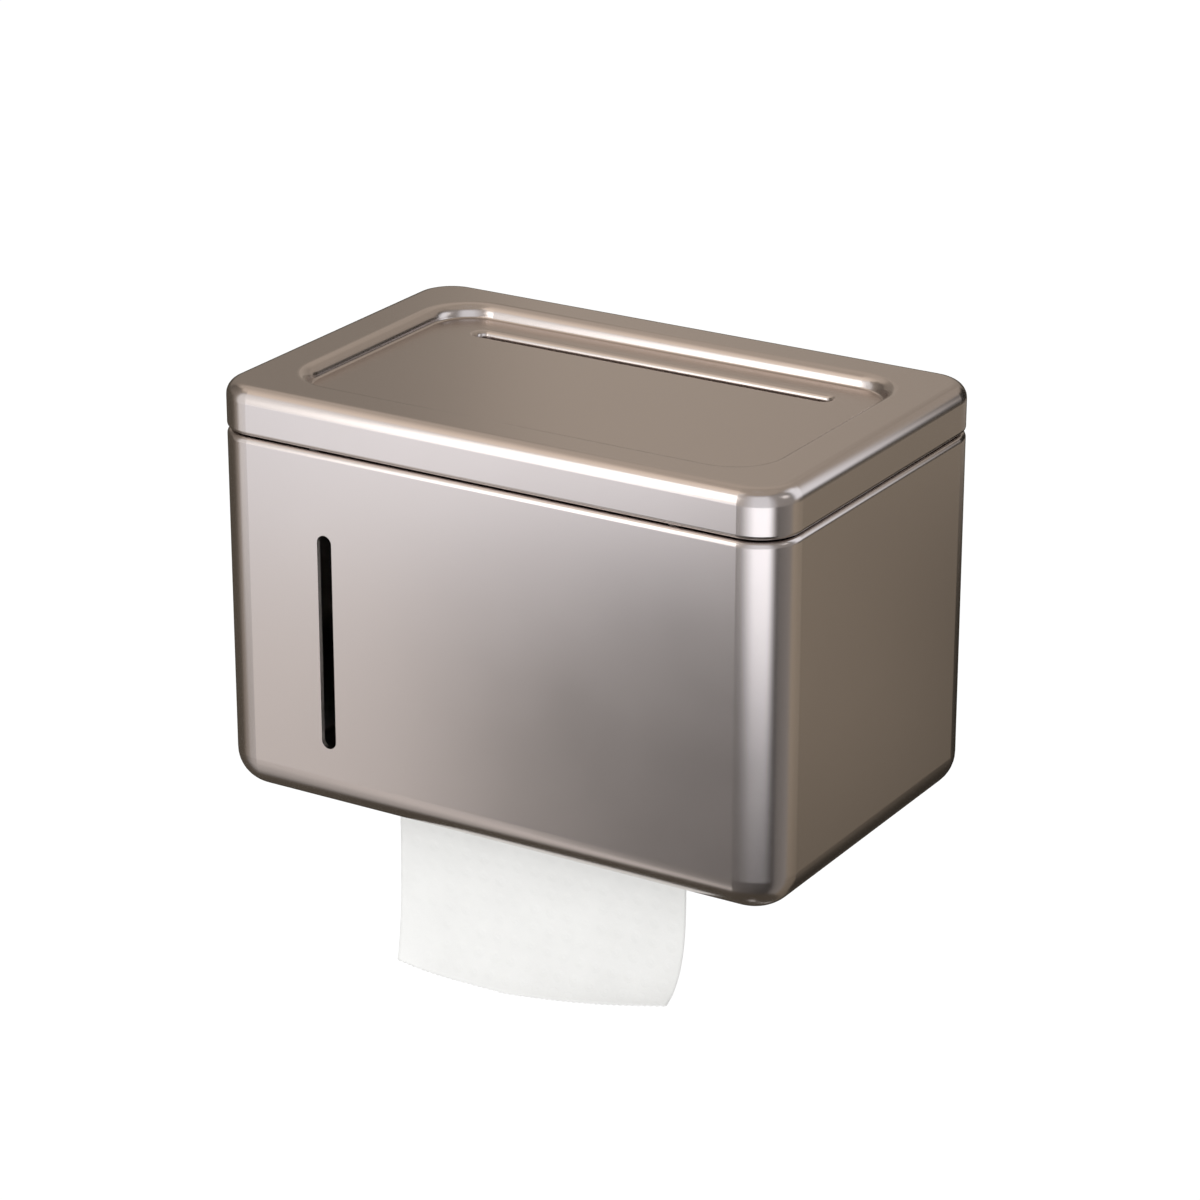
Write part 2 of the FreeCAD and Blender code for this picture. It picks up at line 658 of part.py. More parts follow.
def make_bracket(name, side):
    """Folded plate: a foot on the back wall, and an ear that reaches forward to the spindle."""
    bracket = new_body(f"roll_bracket_{name}", y="-sheet_thickness", z="-fixing_height")
    foot_x = f"{side} * (ear_inside + foot_width / 2)"
    foot = sketch_on(bracket, "foot", "XZ_Plane", x=foot_x, y="fixing_height")
    rounded_rectangle(foot, "foot_width", "foot_height", "foot_corner")
    pad(bracket, foot, "bracket_thickness")

    ear = sketch_on(bracket, "ear", "YZ_Plane", z=f"{side} * ear_inside")
    reach = "mid_depth - sheet_thickness"
    tip = Vector(-number(reach), number("spindle_height"), 0)
    low = Vector(0, number("fixing_height - ear_root / 2"), 0)
    high = Vector(0, number("fixing_height + ear_root / 2"), 0)
    radius = number("ear_tip_radius")
    under = tangent_point(low, tip, radius, above=False)
    over = tangent_point(high, tip, radius, above=True)
    angles = sorted(math.degrees(math.atan2(p.y - tip.y, p.x - tip.x)) % 360 for p in (under, over))
    ear.addGeometry([
        line((low.x, low.y), (under.x, under.y)),
        line((over.x, over.y), (high.x, high.y)),
        line((high.x, high.y), (low.x, low.y)),
        arc(tip.x, tip.y, radius, *angles),
    ])
    for constraint in (
        ("Tangent", 0, END, 3, END),
        ("Tangent", 1, START, 3, START),
        ("Coincident", 1, END, 2, START),
        ("Coincident", 2, END, 0, START),
        ("PointOnObject", 0, START, VERTICAL_AXIS),
        ("PointOnObject", 1, END, VERTICAL_AXIS),
    ):
        ear.addConstraint(Sketcher.Constraint(*constraint))
    dimension(ear, "Radius", 3, expression="ear_tip_radius")
    dimension(ear, "DistanceX", 3, CENTRE, HORIZONTAL_AXIS, START, expression=reach)
    dimension(ear, "DistanceY", HORIZONTAL_AXIS, START, 3, CENTRE, expression="spindle_height")
    dimension(ear, "DistanceY", HORIZONTAL_AXIS, START, 0, START, expression="fixing_height - ear_root / 2")
    dimension(ear, "DistanceY", 2, END, 2, START, expression="ear_root")
    pad(bracket, ear, "bracket_thickness", reverse=side < 0)

    corner_x = side * number("ear_inside + bracket_thickness")
    corner_y = -number("bracket_thickness")
    inner_bend = edges_at(bracket.Tip, keep=upright_at(corner_x, corner_y))
    round_edges(bracket, inner_bend, "bend_radius")

    hole = sketch_on(bracket, "pin_hole", "YZ_Plane")
    circle_at(hole, f"-({reach})", "spindle_height", "pin_hole")
    pocket(bracket, hole, through="Symmetric")
    holes = sketch_on(bracket, "foot_holes", "XZ_Plane")
    for rise in (-1, 1):
        circle_at(
            holes,
            f"{side} * fixing_width / 2",
            f"fixing_height + {rise} * fixing_rise / 2",
            "fixing_radius",
        )
        circle_at(
            holes,
            f"{side} * (ear_inside + rivet_column)",
            f"fixing_height + {rise} * rivet_rise / 2",
            "rivet_radius",
        )
    pocket(bracket, holes, through="Symmetric")
    return bracket


# Rivets


def rivet(name, x, z, grip):
    """A rivet from the wall face forward: shank, then a low cone-shaped head on the inside."""
    shank = cylinder(f"{name}_shank", "rivet_radius", grip, x, f"-({grip})", z, "Y")
    head = cone(
        f"{name}_head",
        "rivet_crown",
        "rivet_head_radius",
        "rivet_head",
        x,
        f"-({grip}) - rivet_head",
        z,
        "Y",
    )
    return fuse(name, shank, head)


def make_bracket_rivets():
    rivets = []
    for name, side in SIDES:
        for level, rise in (("low", -1), ("high", 1)):
            rivets.append(
                rivet(
                    f"bracket_rivet_{name}_{level}",
                    f"{side} * (ear_inside + rivet_column)",
                    f"{rise} * rivet_rise / 2",
                    "sheet_thickness + bracket_thickness",
                )
            )
    return group("bracket_rivets", *rivets)


def make_hinge_rivets():
    rivets = []
    for name, side in SIDES:
        for end, step in (("outer", side), ("inner", -side)):
            rivets.append(
                rivet(
                    f"hinge_rivet_{name}_{end}",
                    f"{side} * hinge_x + {step} * leaf_rivet_spacing / 2",
                    "leaf_rivet_z",
                    "sheet_thickness + leaf_thickness",
                )
            )
    return group("hinge_rivets", *rivets)


# Spindle


def end_pin(name, start, step):
    """A stub pin with a bevelled tip, from a shoulder outwards."""
    length = "pin_reach - pin_chamfer"
    if step > 0:
        shank_x = start
        tip_x = f"({start}) + {length}"
        ends = ("pin_radius", "pin_radius - pin_chamfer")
    else:
        shank_x = f"({start}) - ({length})"
        tip_x = f"({start}) - pin_reach"
        ends = ("pin_radius - pin_chamfer", "pin_radius")
    shank = cylinder(f"{name}_shank", "pin_radius", length, shank_x, "spindle_y", "spindle_z")
    tip = cone(f"{name}_tip", *ends, "pin_chamfer", tip_x, "spindle_y", "spindle_z")
    return shank, tip


def make_spindle_sleeve():
    tube = cylinder(
        "sleeve_tube",
        "spindle_radius",
        "shoulder + sleeve_reach",
        "-shoulder",
        "spindle_y",
        "spindle_z",
    )
    solid = fuse("sleeve_solid", tube, *end_pin("sleeve_pin", "-shoulder", -1))
    bore = cylinder(
        "sleeve_bore_tool",
        "sleeve_bore",
        "shoulder + sleeve_reach",
        "spindle_end - shoulder",
        "spindle_y",
        "spindle_z",
    )
    return cut("spindle_sleeve", solid, bore)


def make_spindle_plunger():
    tube = cylinder(
        "plunger_tube",
        "plunger_radius",
        "shoulder + plunger_tail",
        "-plunger_tail",
        "spindle_y",
        "spindle_z",
    )
    collar = cylinder(
        "plunger_collar_ring",
        "spindle_radius",
        "plunger_collar",
        "shoulder - plunger_collar",
        "spindle_y",
        "spindle_z",
    )
    solid = fuse("plunger_solid", tube, collar, *end_pin("plunger_pin", "shoulder", 1))
    bore = cylinder(
        "plunger_bore_tool",
        "plunger_bore",
        "2 * plunger_tail + shoulder - spindle_end",
        "-2 * plunger_tail",
        "spindle_y",
        "spindle_z",
    )
    return cut("spindle_plunger", solid, bore)


def bisected_arc(start, tangent, end):
    """The arc that leaves a point along a tangent and ends at another point."""
    chord = end - start
    along = chord * (1 / chord.Length)
    side = tangent - along * tangent.dot(along)
    half_turn = math.acos(max(-1.0, min(1.0, tangent.dot(along))))
    middle = (start + end) * 0.5 + side * (chord.Length / 2 * math.tan(half_turn / 2) / side.Length)
    return Part.Arc(start, middle, end).toShape()


def biarc(start, start_tangent, end, end_tangent):
    """Two arcs that join two points and touch a tangent at each."""
    gap = end - start
    both = start_tangent + end_tangent
    spread = 2 * (1 - start_tangent.dot(end_tangent))
    across = gap.dot(both)
    reach = (math.sqrt(across**2 + spread * gap.dot(gap)) - across) / spread
    joint = (start + end + (start_tangent - end_tangent) * reach) * 0.5
    joint_tangent = joint - start - start_tangent * reach
    joint_tangent = joint_tangent * (1 / joint_tangent.Length)
    return [bisected_arc(start, start_tangent, joint), bisected_arc(joint, joint_tangent, end)]


def make_spindle_spring():
    """Compression spring between the closed ends of sleeve and plunger, one unbroken wire."""
    wire_radius = number("spring_wire") / 2
    radius = number("spring_radius")
    coils = int(number("spring_coils"))
    reach = number("shoulder - spindle_end - spring_seat") - wire_radius
    pitch = 2 * reach / coils
    axis_y = number("spindle_y")
    axis_z = number("spindle_z")
    steps = 4 * coils

    def place(step):
        angle = step * math.pi / 2
        x = -reach + pitch * step / 4
        return Vector(x, axis_y + radius * math.cos(angle), axis_z + radius * math.sin(angle))

    def heading(step):
        angle = step * math.pi / 2
        way = Vector(pitch / (2 * math.pi), -radius * math.sin(angle), radius * math.cos(angle))
        return way.normalize()

    edges = []
    for step in range(steps):
        edges += biarc(place(step), heading(step), place(step + 1), heading(step + 1))
    path = Part.Wire(edges)
    ring = Part.Wire([Part.Circle(place(0), heading(0), wire_radius).toShape()])
    spring = doc.addObject("Part::Feature", "spindle_spring")
    spring.Shape = path.makePipeShell([ring], True, False)
    print(f"spring: {coils} turns, {path.Length:.1f} mm of wire, "
          f"least gap between turns {pitch - 2 * wire_radius:.2f} mm, "
          f"volume {spring.Shape.Volume:.1f} of {math.pi * wire_radius**2 * path.Length:.1f} mm3")
    return spring


# Roll and hanging paper


def make_roll():
    half = "-roll_width / 2"
    core_out = "core_radius + core_wall"
    core = cut(
        "roll_core",
        cylinder("core_tube", core_out, "roll_width", half, "spindle_y", "roll_z"),
        cylinder("core_bore", "core_radius", "roll_width", half, "spindle_y", "roll_z"),
    )
    paper = cut(
        "roll_paper",
        cylinder("paper_drum", "roll_radius", "roll_width", half, "spindle_y", "roll_z"),
        cylinder("paper_bore", core_out, "roll_width", half, "spindle_y", "roll_z"),
    )
    return [core, paper]


def ribbon(start, heading, thickness, steps):
    """Closed outline of a strip in the Y-Z plane.

    Each step is (length, 0) for a straight run or (radius, turn) for a bend, the turn in radians,
    positive to the left. The strip's middle line follows the steps.
    """
    point = start
    upper = []
    lower = []
    for size, turn in steps:
        left = Vector(0, -math.sin(heading), math.cos(heading))
        if turn:
            way = math.copysign(1, turn)
            centre = point + left * (size * way)

            def spoke(angle):
                return Vector(0, math.sin(angle), -math.cos(angle)) * way

            for edges, offset in ((upper, -way), (lower, way)):
                r = size + offset * thickness / 2
                ends = [centre + spoke(heading + turn * share) * r for share in (0, 0.5, 1)]
                edges.append(Part.Arc(*ends).toShape())
            heading += turn
            point = centre + spoke(heading) * size
        else:
            end = point + Vector(0, math.cos(heading), math.sin(heading)) * size
            for edges, offset in ((upper, 1), (lower, -1)):
                shift = left * (offset * thickness / 2)
                edges.append(Part.makeLine(point + shift, end + shift))
            point = end
    left = Vector(0, -math.sin(heading), math.cos(heading)) * (thickness / 2)
    first = lower[0].Vertexes[0].Point
    caps = [Part.makeLine(first, upper[0].Vertexes[0].Point), Part.makeLine(point + left, point - left)]
    return Part.Wire(Part.__sortEdges__(upper + lower + caps))


def make_paper_tail():
    """The end of the paper: off the front of the roll, down through the slot, and hanging."""
    thickness = number("tail_thickness")
    centre = Vector(0, number("spindle_y"), number("roll_z"))
    drum = number("roll_radius + tail_gap") + thickness / 2
    slot_y = number("slot_y")
    bend = number("tail_bend")
    box_floor = -number("fixing_height")

    # The straight run touches the drum, and then the bend that turns it upright in the slot
    bend_centre = Vector(0, slot_y - bend, box_floor + number("sheet_thickness"))
    gap = bend_centre - centre
    heading = math.atan2(gap.z, gap.y) + math.asin((bend + drum) / gap.Length)
    left = Vector(0, -math.sin(heading), math.cos(heading))
    leave = centre - left * drum
    arrive = bend_centre + left * bend
    run = (arrive - leave).Length
    turn_down = -math.pi / 2 - heading
    curl = math.radians(number("tail_curl_angle"))
    curl_radius = number("tail_curl")
    end_z = box_floor - number("tail_drop")
    upright_z = bend_centre.z
    straight = upright_z - end_z - curl_radius * math.sin(curl)
    outline = ribbon(
        leave,
        heading,
        thickness,
        [(run, 0), (bend, turn_down), (straight, 0), (curl_radius, -curl)],
    )
    length = run + bend * abs(turn_down) + straight + curl_radius * curl
    sheet_face = Part.Face(outline)
    width = number("roll_width")
    tail = doc.addObject("Part::Feature", "paper_tail")
    tail.Shape = sheet_face.extrude(Vector(width, 0, 0))
    tail.Placement = FreeCAD.Placement(Vector(-width / 2, 0, 0), FreeCAD.Rotation())
    print(f"hanging paper: {width:.0f} mm wide, {length:.1f} mm long, leaves the roll at "
          f"y {leave.y:.1f} z {leave.z:.1f}")
    return tail


# Lid hinges


def make_hinge(name, side):
    """Butt hinge hidden under the lid's rear edge: a leaf on the back wall, a leaf under the rim."""
    centre = f"{side} * hinge_x"
    low_x = f"{centre} - hinge_width / 2"
    lid_x = f"{centre} - lid_knuckle / 2"
    knuckle_gap = "lid_knuckle + 2 * knuckle_play"

    foot = box(
        f"leaf_foot_{name}",
        "hinge_width",
        "leaf_thickness",
        "leaf_step + leaf_thickness",
        low_x,
        "-sheet_thickness - leaf_thickness",
        "leaf_low",
    )
    upright = box(
        f"leaf_upright_{name}",
        "hinge_width",
        "leaf_thickness",
        "leaf_length - leaf_step",
        low_x,
        "-sheet_thickness - leaf_joggle - leaf_thickness",
        "leaf_low + leaf_step",
    )
    barrel = cylinder(
        f"leaf_barrel_{name}", "knuckle_radius", "hinge_width", low_x, "hinge_axis_y", "hinge_axis_z"
    )
    gap = box(
        f"leaf_gap_{name}",
        knuckle_gap,
        "4 * knuckle_radius",
        "4 * knuckle_radius",
        f"{centre} - ({knuckle_gap}) / 2",
        "hinge_axis_y - 2 * knuckle_radius",
        "hinge_axis_z - knuckle_radius - hinge_room",
    )
    bore = cylinder(
        f"leaf_bore_{name}", "hinge_pin_radius", "hinge_width", low_x, "hinge_axis_y", "hinge_axis_z"
    )
    rivet_holes = [
        cylinder(
            f"leaf_hole_{name}_{end}",
            "rivet_radius",
            "4 * leaf_thickness",
            f"{centre} + {step} * leaf_rivet_spacing / 2",
            "-sheet_thickness - 2 * leaf_thickness",
            "leaf_rivet_z",
            "Y",
        )
        for end, step in (("outer", 1), ("inner", -1))
    ]
    body_leaf = cut(
        f"hinge_body_leaf_{name}",
        fuse(f"leaf_solid_{name}", foot, upright, barrel),
        gap,
        bore,
        *rivet_holes,
    )

    clear = "knuckle_radius + hinge_room"
    plate = box(
        f"lid_plate_{name}",
        "hinge_width",
        f"lid_leaf_length - ({clear})",
        "leaf_thickness",
        low_x,
        "hinge_axis_y - lid_leaf_length",
        "hinge_axis_z + lid_run - leaf_thickness",
    )
    tongue = box(
        f"lid_tongue_{name}",
        "lid_knuckle",
        clear,
        "leaf_thickness",
        lid_x,
        f"hinge_axis_y - ({clear})",
        "hinge_axis_z + lid_run - leaf_thickness",
    )
    knuckle = cylinder(
        f"lid_barrel_{name}", "knuckle_radius", "lid_knuckle", lid_x, "hinge_axis_y", "hinge_axis_z"
    )
    lid_bore = cylinder(
        f"lid_bore_{name}",
        "hinge_pin_radius + running_gap",
        "lid_knuckle",
        lid_x,
        "hinge_axis_y",
        "hinge_axis_z",
    )
    lid_leaf = cut(
        f"hinge_lid_leaf_{name}", fuse(f"lid_leaf_solid_{name}", plate, tongue, knuckle), lid_bore
    )
    pin = cylinder(
        f"hinge_pin_{name}", "hinge_pin_radius", "hinge_width", low_x, "hinge_axis_y", "hinge_axis_z"
    )
    return [body_leaf, lid_leaf, pin]


# Assembly

parts = [make_body_shell(), make_slot_guide(), make_lid_shell(), make_lid_pads()]
for side_name, sign in SIDES:
    parts.append(make_bracket(side_name, sign))
    parts += make_hinge(side_name, sign)
parts += [make_bracket_rivets(), make_hinge_rivets()]
parts += [make_spindle_sleeve(), make_spindle_plunger(), make_spindle_spring()]
parts += make_roll()
parts.append(make_paper_tail())
doc.recompute()

for item in doc.Objects:
    if {"Invalid", "Error"} & set(item.State):
        raise RuntimeError(f"{item.Name} failed: {item.State}")
for item in parts:
    if item.Shape.isNull() or not item.Shape.isValid():
        raise RuntimeError(f"{item.Label} has no valid shape")

os.makedirs("parts", exist_ok=True)
for item in parts:
    item.Shape.exportStep(f"parts/{item.Label}.step")
    reach = item.Shape.optimalBoundingBox(False)
    print(f"{item.Label}: {len(item.Shape.Solids)} solid(s), {reach.XLength:.1f} x "
          f"{reach.YLength:.1f} x {reach.ZLength:.1f} mm")
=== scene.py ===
# %% [markdown]
# # A wall box for one toilet roll, with a phone tray in its lid
#
# The box and its lid are drawn from sheet steel and finished in a warm satin. A lesson about
# this object is mostly a lesson about reflections: bare metal has hardly any colour of its own,
# so what it mirrors does the work that paint does elsewhere. We start from the packed
# construction, which holds every piece at its true place, and only add what it can't have:
# finishes, the wound and hanging paper, the card core, a coiled spring drawn again, and a
# small studio.

# %% The fixed frame
import math

import bmesh
import bpy
from mathutils import Matrix, Vector, noise


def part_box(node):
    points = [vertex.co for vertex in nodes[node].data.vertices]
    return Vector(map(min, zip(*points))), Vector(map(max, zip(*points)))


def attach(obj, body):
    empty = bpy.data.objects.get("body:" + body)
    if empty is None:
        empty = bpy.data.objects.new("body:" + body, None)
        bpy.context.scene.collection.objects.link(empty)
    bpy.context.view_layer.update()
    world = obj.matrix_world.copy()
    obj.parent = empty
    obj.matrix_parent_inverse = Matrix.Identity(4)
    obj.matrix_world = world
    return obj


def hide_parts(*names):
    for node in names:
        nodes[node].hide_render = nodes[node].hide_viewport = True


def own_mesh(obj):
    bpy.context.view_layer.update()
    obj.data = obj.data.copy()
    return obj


MM = 0.001
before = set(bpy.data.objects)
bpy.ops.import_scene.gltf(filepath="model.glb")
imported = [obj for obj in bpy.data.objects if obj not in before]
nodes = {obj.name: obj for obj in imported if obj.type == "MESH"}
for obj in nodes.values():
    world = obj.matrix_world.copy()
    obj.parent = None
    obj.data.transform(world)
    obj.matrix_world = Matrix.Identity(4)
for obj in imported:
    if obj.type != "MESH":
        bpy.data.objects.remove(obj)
scene = bpy.context.scene
scene.view_settings.view_transform = "Standard"
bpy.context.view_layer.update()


print("pieces in the frame:", len(nodes))

# %% [markdown]
# ## The camera
#
# A product picture is taken from far away with a long lens, so that upright edges stay nearly
# parallel. We give the camera an angle round the object, a height angle and a distance, all
# real sizes, and then let it look a touch past the middle, which is what the framing of the
# picture asks for. Changing the lens would change only the size on the page, never the
# perspective.

# %% The camera's place
ORBIT_CENTRE = Vector((0, -0.0609, 0.0112))
ORBIT_TURN = math.radians(31.49)
ORBIT_RISE = math.radians(21.10)
ORBIT_DISTANCE = 1.2472
LOOK_TURN = math.radians(31.433)
LOOK_RISE = math.radians(21.321)
LENS = 126.3
NEAREST_SEEN = 0.05


def away(turn, rise):
    """Unit vector from the object towards a place at that turn to the right and that height."""
    return Vector((
        math.sin(turn) * math.cos(rise),
        -math.cos(turn) * math.cos(rise),
        math.sin(rise),
    ))


lens = bpy.data.cameras.new("product_lens")
lens.lens = LENS
lens.clip_start = NEAREST_SEEN
camera = bpy.data.objects.new("product_camera", lens)
camera.location = ORBIT_CENTRE + away(ORBIT_TURN, ORBIT_RISE) * ORBIT_DISTANCE
camera.rotation_euler = away(LOOK_TURN, LOOK_RISE).to_track_quat("Z", "Y").to_euler()
scene.collection.objects.link(camera)
scene.camera = camera
print("camera stands at", [round(value, 3) for value in camera.location])

# %% [markdown]
# ## How a finish is written
#
# Every finish here is a Principled surface. Its colour, gloss and grain are worked out by nodes
# from Object coordinates, which are metres on the real object, so one noise scale means the
# same grain size on every piece. A number that is the same all over goes straight into the
# shader's own socket; only what varies gets nodes. Colours are written as they look on a
# screen, 0 to 255, and turned into light values by one small function.

# %% Helpers for finishes
def light(*screen):
    """A screen colour, 0 to 255, as linear light, by the usual sRGB curve."""
    values = [part / 255 for part in screen]
    return tuple(v / 12.92 if v <= 0.04045 else ((v + 0.055) / 1.055) ** 2.4 for v in values)


class Finish:
    """One material: a Principled surface and short ways to vary it."""

    def __init__(self, name, colour, roughness, metallic=0.0):
        self.material = bpy.data.materials.new(name)
        self.material.use_nodes = True
        self.tree = self.material.node_tree
        self.surface = self.tree.nodes["Principled BSDF"]
        self.surface.inputs["Base Color"].default_value = (*light(*colour), 1)
        self.surface.inputs["Roughness"].default_value = roughness
        self.surface.inputs["Metallic"].default_value = metallic

    def node(self, kind, **settings):
        """A new shader node with some of its settings."""
        made = self.tree.nodes.new(f"ShaderNode{kind}")
        for name, value in settings.items():
            setattr(made, name, value)
        return made

    def join(self, output, target):
        """Link an output to an input."""
        self.tree.links.new(output, target)

    def coordinates(self, stretch=(1, 1, 1), source="Object"):
        """Object or UV coordinates, stretched along the axes."""
        place = self.node("TexCoord")
        mapping = self.node("Mapping")
        mapping.inputs["Scale"].default_value = stretch
        self.join(place.outputs[source], mapping.inputs["Vector"])
        return mapping.outputs["Vector"]

    def grain(self, size, detail=2.0, stretch=(1, 1, 1), source="Object"):
        """Noise whose lumps are about that size in metres, 0 to 1."""
        texture = self.node("TexNoise")
        texture.inputs["Scale"].default_value = 1 / size
        texture.inputs["Detail"].default_value = detail
        self.join(self.coordinates(stretch, source), texture.inputs["Vector"])
        return texture.outputs["Fac"]

    def spread(self, value, low, high, start=0.3, end=0.7):
        """A value between start and end, spread from low to high."""
        span = self.node("MapRange")
        limits = {"From Min": start, "From Max": end, "To Min": low, "To Max": high}
        for name, number in limits.items():
            span.inputs[name].default_value = number
        self.join(value, span.inputs["Value"])
        return span.outputs["Result"]

    def vary_gloss(self, value, low, high):
        """Let a value move the roughness from low to high."""
        self.join(self.spread(value, low, high), self.surface.inputs["Roughness"])

    def vary_colour(self, value, first, second):
        """Mix two screen colours by a value, from its low to its high."""
        mix = self.node("Mix", data_type="RGBA")
        mix.inputs["A"].default_value = (*light(*first), 1)
        mix.inputs["B"].default_value = (*light(*second), 1)
        self.join(self.spread(value, 0, 1), mix.inputs["Factor"])
        self.join(mix.outputs["Result"], self.surface.inputs["Base Color"])

    def emboss(self, value, depth, strength=1.0, under=None):
        """Let a value push the surface in and out by a depth in metres."""
        bump = self.node("Bump")
        bump.inputs["Strength"].default_value = strength
        bump.inputs["Distance"].default_value = depth
        self.join(value, bump.inputs["Height"])
        if under is not None:
            self.join(under, bump.inputs["Normal"])
        self.join(bump.outputs["Normal"], self.surface.inputs["Normal"])
        return bump.outputs["Normal"]

    def on(self, *names):
        """Give this finish to pieces of the frame."""
        for name in names:
            nodes[name].data.materials.clear()
            nodes[name].data.materials.append(self.material)
        print(f"{self.material.name}: on {', '.join(names)}")


# %% [markdown]
# ## Satin steel
#
# The outside is steel with a fine blasted satin and a warm, faintly rosy tint. Seen from a step
# away it has no grain at all: highlights are soft-edged but still narrow, so the roughness is
# low, near a quarter. Only under a lens would the blasting show as pits. A bump much finer than
# a pixel can't be seen as pits and only adds noise, so we leave it out: roughness is that
# blasting, seen from afar. What is left is a steady tint, and a slow change of gloss from
# handling that only shows where a highlight crosses it.

# %% Satin steel on box and lid
SATIN_TINT = (203, 194, 190)
SATIN_ROUGHNESS = 0.22
HANDLING_SIZE = 40 * MM
HANDLING_GLOSS = 0.012

satin = Finish("satin_steel", SATIN_TINT, SATIN_ROUGHNESS, metallic=1.0)
handled = satin.grain(HANDLING_SIZE, detail=3)
satin.vary_gloss(handled, SATIN_ROUGHNESS - HANDLING_GLOSS, SATIN_ROUGHNESS + HANDLING_GLOSS)
satin.on("body_shell", "lid_shell")

# %% [markdown]
# ## Plated steel inside
#
# Brackets and hinges are not finished like the outside. They are cut from zinc-plated strip,
# cooler in colour, with the rolling grain of the strip still in it. Rolling grain is long in
# one direction, so the noise is stretched along the length of the strip. Rivets are turned
# aluminium, brighter and smoother; hinge pins are polished; the spring is drawn wire with a
# darker skin.

# %% Brackets, hinges, rivets, pins and spring
STRIP_GRAIN = (1, 0.04, 1)
LEAF_GRAIN = (0.04, 1, 1)

strip = Finish("zinc_strip", (190, 193, 196), roughness=0.36, metallic=1.0)
strip.vary_gloss(strip.grain(0.5 * MM, detail=3, stretch=STRIP_GRAIN), 0.30, 0.44)
strip.vary_colour(strip.grain(14 * MM, detail=4), (178, 182, 188), (204, 206, 207))
strip.on("roll_bracket_left", "roll_bracket_right")

leaf = Finish("hinge_steel", (196, 196, 198), roughness=0.33, metallic=1.0)
leaf.vary_gloss(leaf.grain(0.4 * MM, detail=3, stretch=LEAF_GRAIN), 0.27, 0.40)
leaf.on(
    "hinge_body_leaf_left",
    "hinge_body_leaf_right",
    "hinge_lid_leaf_left",
    "hinge_lid_leaf_right",
)

rivet = Finish("rivet_aluminium", (220, 221, 223), roughness=0.30, metallic=1.0)
rivet.vary_gloss(rivet.grain(0.8 * MM), 0.24, 0.38)
rivet.on("bracket_rivets", "hinge_rivets")

pin = Finish("polished_pin", (228, 229, 231), roughness=0.12, metallic=1.0)
pin.vary_gloss(pin.grain(1.2 * MM, stretch=LEAF_GRAIN), 0.08, 0.18)
pin.on("hinge_pin_left", "hinge_pin_right")

wire = Finish("spring_wire", (166, 166, 170), roughness=0.24, metallic=1.0)
wire.vary_gloss(wire.grain(0.3 * MM), 0.18, 0.34)

# %% [markdown]
# ## Moulded plastics
#
# Three pieces are moulded. The spindle is white plastic with the soft sheen of a mould that was
# polished along its axis. The ring in the paper slot is black and spark-eroded, which leaves a
# fine even pebble that paper slides over without a squeak. The rest pads are clear and rubbery,
# so light passes through them a little.

# %% Spindle, slot guide and pads
white_plastic = Finish("spindle_plastic", (233, 232, 227), roughness=0.38)
white_plastic.vary_gloss(white_plastic.grain(0.6 * MM, stretch=(0.05, 1, 1)), 0.32, 0.46)
clouds = white_plastic.grain(18 * MM, detail=3)
white_plastic.vary_colour(clouds, (229, 228, 222), (236, 235, 231))
white_plastic.on("spindle_sleeve", "spindle_plunger")

black_plastic = Finish("guide_plastic", (26, 26, 28), roughness=0.5)
black_plastic.emboss(black_plastic.grain(0.28 * MM, detail=2), 0.02 * MM, strength=0.6)
black_plastic.vary_gloss(black_plastic.grain(3 * MM), 0.44, 0.58)
black_plastic.on("paper_slot_guide")

pad_rubber = Finish("clear_pad", (226, 228, 228), roughness=0.35)
pad_rubber.surface.inputs["Transmission Weight"].default_value = 0.6
pad_rubber.surface.inputs["IOR"].default_value = 1.42
pad_rubber.vary_gloss(pad_rubber.grain(0.5 * MM), 0.28, 0.45)
pad_rubber.on("lid_pads")

# %% [markdown]
# ## Tissue and card
#
# Tissue is two soft plies pressed together by an embossing roller, which leaves a grid of small
# dimples about 6 mm apart and a fluffy surface. The dimples follow the paper, not the room, so
# they are drawn on the paper's own UV map, which holds metres across and along the sheet. The
# core is grey-brown card, wound in a slant from a strip, so its seam is a helix. That seam is a
# step in the mesh below; the finish only adds fibres.

# %% Tissue and card finishes
DIMPLE_SPACING = 6 * MM

tissue = Finish("tissue", (247, 247, 245), roughness=0.95)
dimples = tissue.node("TexVoronoi", feature="F1", voronoi_dimensions="2D")
dimples.inputs["Scale"].default_value = 1 / DIMPLE_SPACING
dimples.inputs["Randomness"].default_value = 0.0
tissue.join(tissue.coordinates(source="UV"), dimples.inputs["Vector"])
pressed = tissue.spread(dimples.outputs["Distance"], 0, 1, start=0.12, end=0.34)
fluff = tissue.emboss(tissue.grain(0.9 * MM, detail=4, source="UV"), 0.05 * MM, strength=0.5)
tissue.emboss(pressed, 0.16 * MM, strength=0.7, under=fluff)
pulp = tissue.grain(12 * MM, detail=4, source="UV")
tissue.vary_colour(pulp, (245, 245, 243), (249, 249, 247))

card = Finish("grey_card", (158, 138, 112), roughness=0.9)
fibres = card.grain(1.6 * MM, detail=5, stretch=(1, 0.3, 0.3))
card.vary_colour(fibres, (146, 127, 103), (171, 152, 126))
card.emboss(card.grain(0.5 * MM, detail=4), 0.04 * MM, strength=0.6)
print("finishes made:", len(bpy.data.materials))
